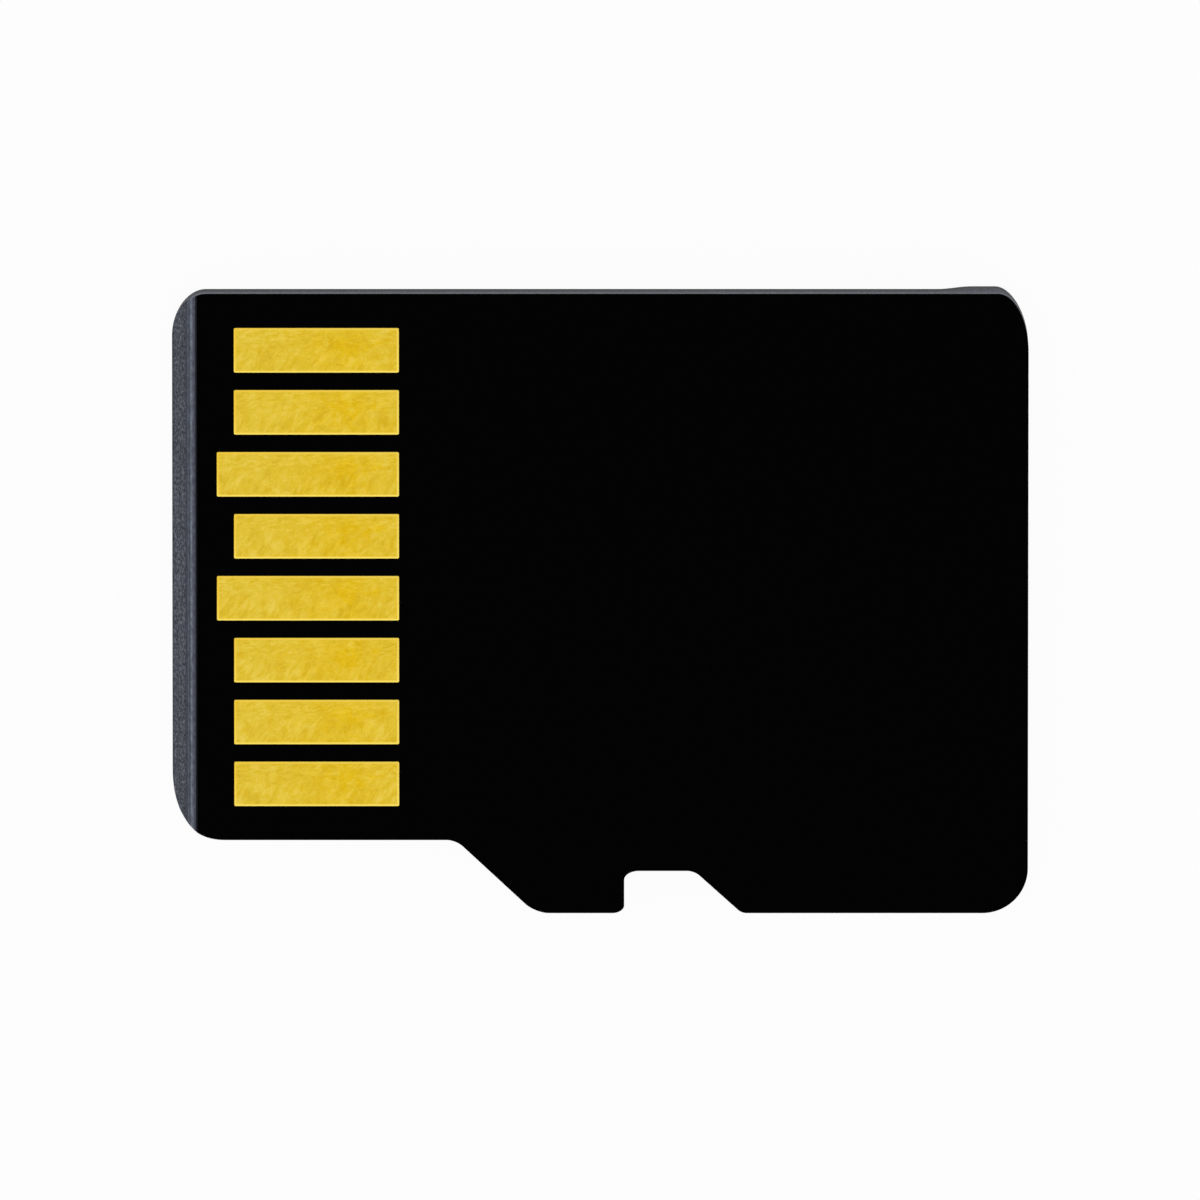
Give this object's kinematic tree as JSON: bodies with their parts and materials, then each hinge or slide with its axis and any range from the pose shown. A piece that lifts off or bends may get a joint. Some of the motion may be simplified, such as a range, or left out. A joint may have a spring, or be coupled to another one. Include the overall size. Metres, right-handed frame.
{
  "type": "microsd memory card",
  "caption": "Small flat flash memory card with gold contacts at one end, a stepped and notched side, a bevelled contact edge and a raised thumb ridge at the back.",
  "frame": {"origin": "under the middle of the card's bounding box, at the level of the thumb ridge on which the card rests", "axes": "+X from the contact edge to the thumb ridge, +Y from the stepped and notched side to the straight side, +Z from the label side to the contact side"},
  "size_m": [0.015, 0.011, 0.001],
  "materials": {
    "moulding": "matte grey-black epoxy moulding with fine filler speckle on cut edges",
    "inner_mask": "thin dark solder mask, matte",
    "laminate": "sawn glass-cloth laminate, matte, dark blue-grey with paler glass bundles",
    "outer_mask": "deep black solder mask, matte",
    "gold_contact": "gold plating over rolled copper, satin, softly mottled, bright rims",
    "copper": "etched copper, satin",
    "capacitor": "fired ceramic with tinned ends",
    "adhesive_film": "translucent amber adhesive film, matte",
    "silicon": "polished grey silicon",
    "bond_wire": "bright gold wire"
  },
  "bodies": {
    "root": {"mould_body": "moulding", "inner_solder_mask": "inner_mask", "laminate_core": "laminate", "outer_solder_mask": "outer_mask", "contact_data_2": "gold_contact", "contact_card_detect": "gold_contact", "contact_command": "gold_contact", "contact_supply": "gold_contact", "contact_clock": "gold_contact", "contact_ground": "gold_contact", "contact_data_0": "gold_contact", "contact_data_1": "gold_contact", "lead_data_2": "copper", "lead_card_detect": "copper", "lead_command": "copper", "lead_supply": "copper", "lead_clock": "copper", "lead_ground": "copper", "lead_data_0": "copper", "lead_data_1": "copper", "bus_leads": "copper", "capacitor_lands": "copper", "capacitor_1": "capacitor", "capacitor_2": "capacitor", "capacitor_3": "capacitor", "capacitor_4": "capacitor", "controller_film": "adhesive_film", "controller_die": "silicon", "memory_film_1": "adhesive_film", "memory_film_2": "adhesive_film", "memory_film_3": "adhesive_film", "memory_film_4": "adhesive_film", "memory_die_1": "silicon", "memory_die_2": "silicon", "memory_die_3": "silicon", "memory_die_4": "silicon", "contact_bond_wires": "bond_wire", "bus_bond_wires": "bond_wire", "memory_bond_wires": "bond_wire"}
  },
  "joints": []
}
